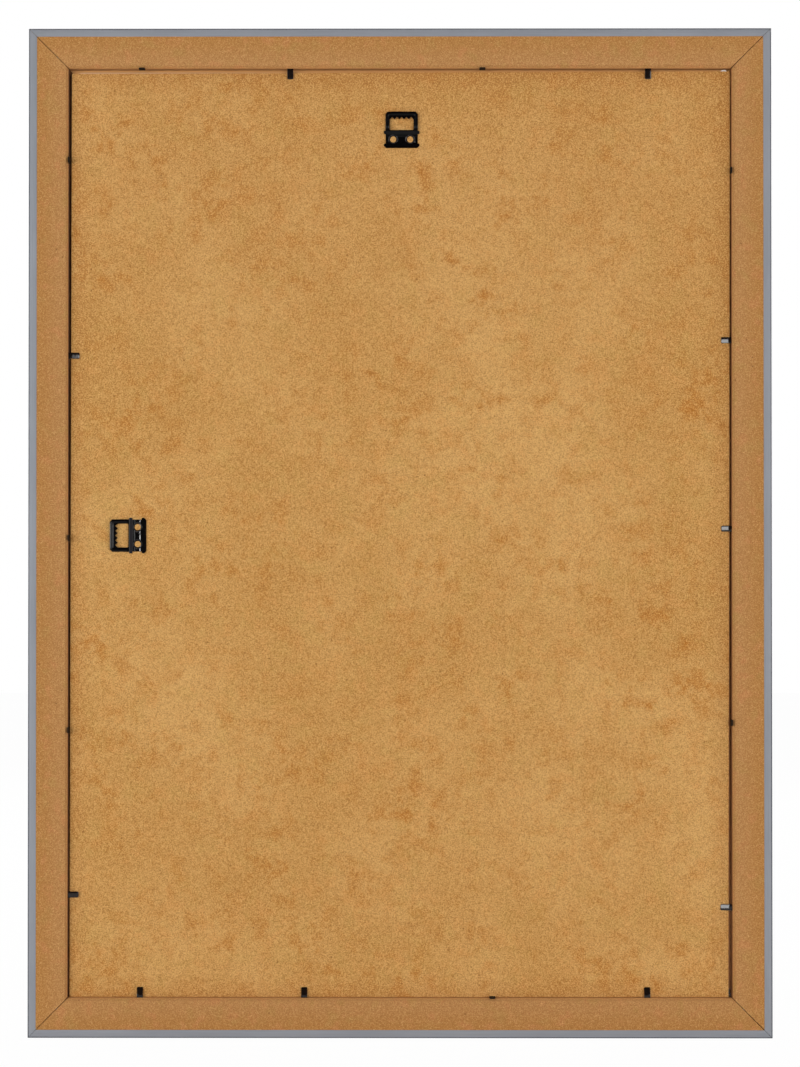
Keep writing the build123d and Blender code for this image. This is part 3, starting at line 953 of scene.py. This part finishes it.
# The arc is carried along the middle of the three bars, and fades into the fold at both ends
def loopGrid():
    part, (cornerSteps, steps) = relief["loop"], relief["loopSteps"]
    square = np.array([(-1, 0), (-1, 1), (1, 1), (1, 0)])
    corners = square * (part["half"], part["top"] - part["foot"]) + (0, part["foot"])
    bends = roundCorners(corners, [part["corner"]] * 4, cornerSteps).reshape(4, cornerSteps, 2)
    line = np.concatenate([corners[:1], bends[1], bends[2], corners[3:]])
    place = np.linspace(0, runLength(line)[-1], steps)
    line = pointsAt(line, place)
    tangent = np.gradient(line, axis=0)
    tangent /= np.linalg.norm(tangent, axis=1, keepdims=True)
    reach, height = lowArc(part["width"], part["rise"])
    fade = np.clip(np.minimum(place, place[-1] - place) / relief["loopFade"], 0, 1)[:, None]
    above = np.where(height > 0, height * fade, height)
    across, rising = line[:, :1] - tangent[:, 1:] * reach, line[:, 1:] + tangent[:, :1] * reach
    return across, rising, above, sweptFaces(steps, len(reach))


# The arc is carried round the hole
def rimGrid(side):
    part, steps = relief["rim"], relief["rimSteps"]
    reach, height = lowArc(part["width"], part["rise"])
    turn = np.linspace(0, 2 * np.pi, steps, endpoint=False)[:, None]
    across = side * part["half"] + (part["radius"] + reach) * np.cos(turn)
    rising = part["height"] + (part["radius"] + reach) * np.sin(turn)
    faces = gridQuads(steps + 1, len(reach)) % (steps * len(reach))
    return across, rising, np.broadcast_to(height, across.shape), faces.tolist()


def buildRelief(node, name):
    low, high = (np.array(corner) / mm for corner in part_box(node))
    hangerMiddle, boardFace = (low + high) / 2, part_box("backing_board")[1][1] / mm
    made = {"Loop": (loopGrid(), high[1], hangerLacquer)}
    for suffix, side in (("Rim1", -1), ("Rim2", 1)):
        # The rims take the rubbed lacquer with its painted highlight
        made[suffix] = (rimGrid(side), boardFace + relief["rim"]["level"], wornAndHighlitLacquer)
    for suffix, ((across, rising, above, faces), level, finish) in made.items():
        if node == "hanger_portrait":
            points = np.stack([hangerMiddle[0] + across, level + above, low[2] + rising], -1)
        else:
            points = np.stack([low[0] + rising, level + above, hangerMiddle[2] + across], -1)
        piece = makePiece(name + suffix, points, faces, finish, sharp=40)
        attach(piece, "frame")
        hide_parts(node)


for node, name in hanger["nodes"].items():
    buildHanger(node, name)
    buildRelief(node, name)
print("hangers built")


# The pane and the corner nails are shown as imported
for node, finish in (("glazing", clearPane), ("corner_nails", nailSteel)):
    mesh = frame["nodes"][node].data
    mesh.materials.clear()
    mesh.materials.append(finish)


# The rays that reach something by way of gloss or glass
def mirrored(tree, path):
    return combine(tree, path["Is Glossy Ray"], path["Is Transmission Ray"], "MAXIMUM")


# Floor: pale, white to the camera and in reflections, with the object's shadow left on it
floorLook = {
    "half": 6.0,  # metres
    "steps": 5,
    "white": 0.98,
    "dim": (232, 232, 232),
    "pale": (238, 238, 238),
    "cloud": 3,
}


def buildFloor():
    half, steps = floorLook["half"], floorLook["steps"]
    x, y = np.meshgrid(np.linspace(-1, 1, steps), np.linspace(-1, 1, steps))
    points = np.stack([x * half, y * half, np.full(x.shape, lowCorner[1] * mm)], -1)
    mesh = bpy.data.meshes.new("floor")
    mesh.from_pydata(points.reshape(-1, 3).tolist(), [], gridQuads(steps, steps, False).tolist())
    finish, tree, shader = newFinish("paleFloor", Roughness=0.9)
    share = cloud(tree, objectPlace(tree), floorLook["cloud"])
    colour = mixTone(tree, share, tone(*floorLook["dim"]), tone(*floorLook["pale"]))
    tree.links.new(colour, shader.inputs["Base Color"])
    path = addNode(tree, "LightPath").outputs
    looked = combine(tree, path["Is Camera Ray"], floorLook["white"])
    seen = combine(tree, looked, mirrored(tree, path), "MAXIMUM")
    white = addNode(tree, "Emission", {"Color": (1, 1, 1, 1), "Strength": 1.0})
    both = addNode(tree, "MixShader", {0: seen, 1: shader.outputs[0], 2: white.outputs[0]})
    tree.links.new(both.outputs[0], tree.nodes["Material Output"].inputs["Surface"])
    mesh.materials.append(finish)
    floor = bpy.data.objects.new("floor", mesh)
    scene.collection.objects.link(floor)


buildFloor()


# World: white behind the object, soft grey as a light, dim behind the camera in reflections
studio = {"fill": 0.16, "dim": 0.1, "dimFrom": (0.1, 0.75)}


def buildWorld():
    world = bpy.data.worlds.new("studio")
    scene.world = world
    world.use_nodes = True
    tree = world.node_tree
    grey = tree.nodes["Background"]
    grey.inputs["Color"].default_value = (1, 1, 1, 1)
    grey.inputs["Strength"].default_value = studio["fill"]
    heading = separate(tree, addNode(tree, "TexCoord").outputs["Generated"])[1]
    behind = spread(tree, heading, *studio["dimFrom"], 1.0, studio["dim"])
    path = addNode(tree, "LightPath").outputs
    level = combine(tree, path["Is Camera Ray"], behind, "MAXIMUM")
    white = addNode(tree, "Background", {"Color": (1, 1, 1, 1), "Strength": level})
    seen = combine(tree, path["Is Camera Ray"], mirrored(tree, path), "MAXIMUM")
    both = addNode(tree, "MixShader", {0: seen, 1: grey.outputs[0], 2: white.outputs[0]})
    tree.links.new(both.outputs[0], tree.nodes["World Output"].inputs["Surface"])


buildWorld()

# Softboxes: place and size in metres, radiance and tint of each; all aim at the frame
softboxes = {
    "mainLeft": {"place": (2.1, 4.3, -0.12), "size": (1.5, 1.1), "radiance": 13.2, "tint": (1, 1, 1)},
    "mainRight": {"place": (-2.1, 4.3, -0.12), "size": (1.5, 1.1), "radiance": 11.9, "tint": (1, 1, 1)},
    "sideLeft": {"place": (2.05, 1.7, -0.3), "size": (0.3, 0.5), "radiance": 20.0, "tint": (1, 1, 1)},
    "sideRight": {"place": (-2.4, 1.0, 0.05), "size": (1.2, 1.4), "radiance": 1.6, "tint": (1, 0.86, 0.95)},
    "topLight": {"place": (0, 0.25, 1.9), "size": (1.6, 1.0), "radiance": 2.0, "tint": (1, 1, 1)},
    "frontLeft": {"place": (-1.75, -1.9, 0.3), "size": (1.2, 1.8), "radiance": 5.6, "tint": (1, 1, 1)},
    "frontRight": {"place": (1.75, -1.9, 0.3), "size": (1.2, 1.8), "radiance": 5.6, "tint": (1, 1, 1)},
}


def buildLamps():
    for name, box in softboxes.items():
        lamp = bpy.data.lights.new(name, "AREA")
        lamp.shape = "RECTANGLE"
        lamp.size, lamp.size_y = box["size"]
        lamp.color = box["tint"]
        lamp.energy = box["radiance"] * np.pi * box["size"][0] * box["size"][1]
        holder = bpy.data.objects.new(name, lamp)
        holder.location = box["place"]
        aim = Vector((middleX * mm, 0, middleZ * mm)) - holder.location
        holder.rotation_euler = aim.to_track_quat("-Z", "Y").to_euler()
        holder.visible_camera = False
        scene.collection.objects.link(holder)


buildLamps()
print("floor, world and lamps set")
